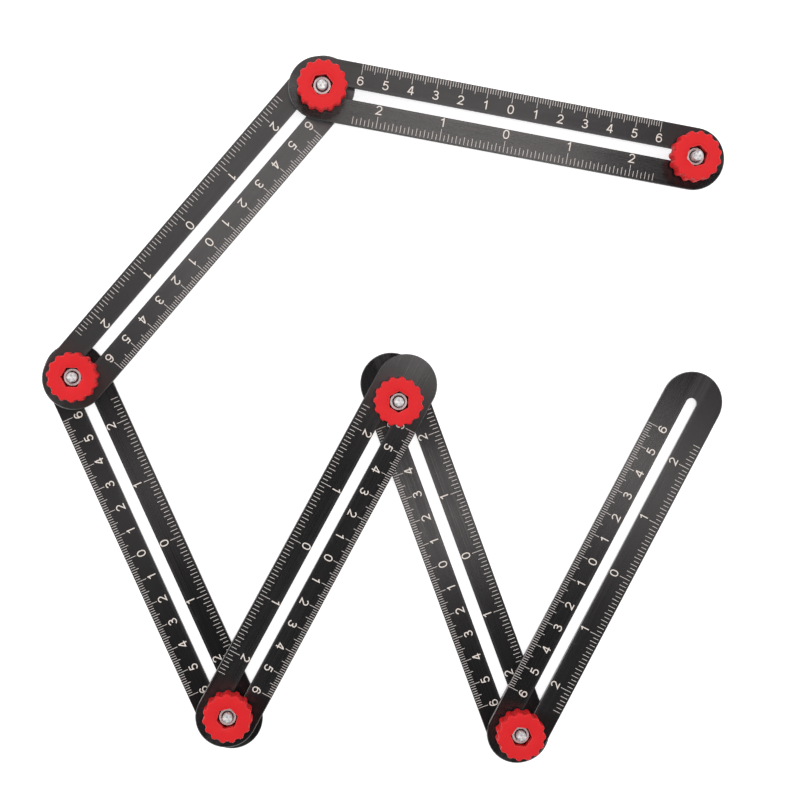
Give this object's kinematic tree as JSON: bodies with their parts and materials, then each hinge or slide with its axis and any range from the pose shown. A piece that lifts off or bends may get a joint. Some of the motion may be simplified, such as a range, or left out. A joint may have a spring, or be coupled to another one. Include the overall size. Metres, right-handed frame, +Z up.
{
  "type": "multi-angle folding ruler",
  "caption": "Folding ruler of slotted metal arms in an open chain, clamped by lobed thumb knobs on bolts that slide along the slots, for copying angles and outlines.",
  "frame": {"origin": "middle of the box round the ruler as pictured, on the surface that the lowest bolt heads rest on", "axes": "+Z up out of the knobs, the arm with the free slot lies along Y with its free end towards +Y, and the picture's right is 27.7 degrees from +X towards +Y"},
  "size_m": [0.248, 0.3072, 0.0195],
  "materials": {
    "anodised": "satin black anodised, brushed along the arm",
    "zinc": "bright zinc plating",
    "knob_plastic": "semi-gloss red moulding"
  },
  "bodies": {
    "arm_1": {"arm_1": "anodised"},
    "arm_2": {"arm_2": "anodised"},
    "arm_3": {"arm_3": "anodised"},
    "arm_4": {"arm_4": "anodised"},
    "arm_5": {"arm_5": "anodised"},
    "arm_6": {"arm_6": "anodised"},
    "bolt_a": {"bolt_a": "zinc"},
    "washer_a": {"washer_a": "zinc"},
    "knob_a": {"knob_a": "knob_plastic", "nut_a": "zinc"},
    "bolt_b": {"bolt_b": "zinc"},
    "washer_b": {"washer_b": "zinc"},
    "knob_b": {"knob_b": "knob_plastic", "nut_b": "zinc"},
    "bolt_c": {"bolt_c": "zinc"},
    "washer_c": {"washer_c": "zinc"},
    "knob_c": {"knob_c": "knob_plastic", "nut_c": "zinc"},
    "bolt_d": {"bolt_d": "zinc"},
    "washer_d": {"washer_d": "zinc"},
    "knob_d": {"knob_d": "knob_plastic", "nut_d": "zinc"},
    "bolt_e": {"bolt_e": "zinc"},
    "washer_e": {"washer_e": "zinc"},
    "knob_e": {"knob_e": "knob_plastic", "nut_e": "zinc"},
    "bolt_f": {"bolt_f": "zinc", "washer_f": "zinc"},
    "knob_f": {"knob_f": "knob_plastic", "nut_f": "zinc"}
  },
  "joints": [
    {"name": "slide_c_along_arm_4", "type": "slide", "parent": "arm_4", "child": "washer_c", "axis": [-0.014, -0.9999, 0], "range_m": [-0.081, 0.0009]},
    {"name": "fold_c", "type": "hinge", "parent": "washer_c", "child": "bolt_c", "pos_m": [0.00366, -0.13941, 0.006], "axis": [0, 0, 1], "range_deg": [-30, 200]},
    {"name": "slide_c_along_arm_3", "type": "slide", "parent": "bolt_c", "child": "arm_3", "axis": [-0.7826, 0.6225, 0], "range_m": [-0.077, 0.002]},
    {"name": "slide_b_along_arm_3", "type": "slide", "parent": "arm_3", "child": "bolt_b", "axis": [0.7826, -0.6225, 0], "range_m": [0, 0.081]},
    {"name": "fold_b", "type": "hinge", "parent": "bolt_b", "child": "washer_b", "pos_m": [-0.11095, -0.04824, 0.006], "axis": [0, 0, -1], "range_deg": [-185, 16]},
    {"name": "slide_b_along_arm_2", "type": "slide", "parent": "washer_b", "child": "arm_2", "axis": [-0.225, -0.9744, 0], "range_m": [0, 0.105]},
    {"name": "slide_a_along_arm_2", "type": "slide", "parent": "arm_2", "child": "bolt_a", "axis": [0.225, 0.9744, 0], "range_m": [-0.105, 0]},
    {"name": "fold_a", "type": "hinge", "parent": "bolt_a", "child": "washer_a", "pos_m": [-0.07756, 0.09641, 0.006], "axis": [0, 0, 1], "range_deg": [-50, 185]},
    {"name": "slide_a_along_arm_1", "type": "slide", "parent": "washer_a", "child": "arm_1", "axis": [0.9537, 0.3007, 0], "range_m": [-0.126, 0]},
    {"name": "slide_d_along_arm_4", "type": "slide", "parent": "arm_4", "child": "washer_d", "axis": [-0.014, -0.9999, 0], "range_m": [-0.0061, 0.08]},
    {"name": "fold_d", "type": "hinge", "parent": "washer_d", "child": "bolt_d", "pos_m": [0.00564, 0.00191, 0.006], "axis": [0, 0, 1], "range_deg": [-19, 85]},
    {"name": "slide_d_along_arm_5", "type": "slide", "parent": "bolt_d", "child": "arm_5", "axis": [-0.7408, 0.6717, 0], "range_m": [-0.0062, 0.099]},
    {"name": "slide_e_along_arm_5", "type": "slide", "parent": "arm_5", "child": "bolt_e", "axis": [0.7408, -0.6717, 0], "range_m": [-0.096, 0.0004]},
    {"name": "fold_e", "type": "hinge", "parent": "bolt_e", "child": "washer_e", "pos_m": [0.11066, -0.09332, 0.006], "axis": [0, 0, 1], "range_deg": [-160, 30]},
    {"name": "slide_e_along_arm_6", "type": "slide", "parent": "washer_e", "child": "arm_6", "axis": [0, -1, 0], "range_m": [0, 0.146]},
    {"name": "slide_f_along_arm_1", "type": "slide", "parent": "arm_1", "child": "bolt_f", "axis": [-0.9537, -0.3007, 0], "range_m": [0, 0.126]},
    {"name": "knob_a_turn", "type": "hinge", "parent": "bolt_a", "child": "knob_a", "pos_m": [-0.07756, 0.09641, 0.012], "axis": [0, 0, 1], "range_deg": [0, 720]},
    {"name": "knob_b_turn", "type": "hinge", "parent": "bolt_b", "child": "knob_b", "pos_m": [-0.11095, -0.04824, 0.012], "axis": [0, 0, 1], "range_deg": [0, 720]},
    {"name": "knob_c_turn", "type": "hinge", "parent": "bolt_c", "child": "knob_c", "pos_m": [0.00366, -0.13941, 0.012], "axis": [0, 0, 1], "range_deg": [0, 720]},
    {"name": "knob_d_turn", "type": "hinge", "parent": "bolt_d", "child": "knob_d", "pos_m": [0.00564, 0.00191, 0.012], "axis": [0, 0, 1], "range_deg": [0, 720]},
    {"name": "knob_e_turn", "type": "hinge", "parent": "bolt_e", "child": "knob_e", "pos_m": [0.11066, -0.09332, 0.012], "axis": [0, 0, 1], "range_deg": [0, 720]},
    {"name": "knob_f_turn", "type": "hinge", "parent": "bolt_f", "child": "knob_f", "pos_m": [0.06403, 0.14105, 0.012], "axis": [0, 0, 1], "range_deg": [0, 720]}
  ]
}
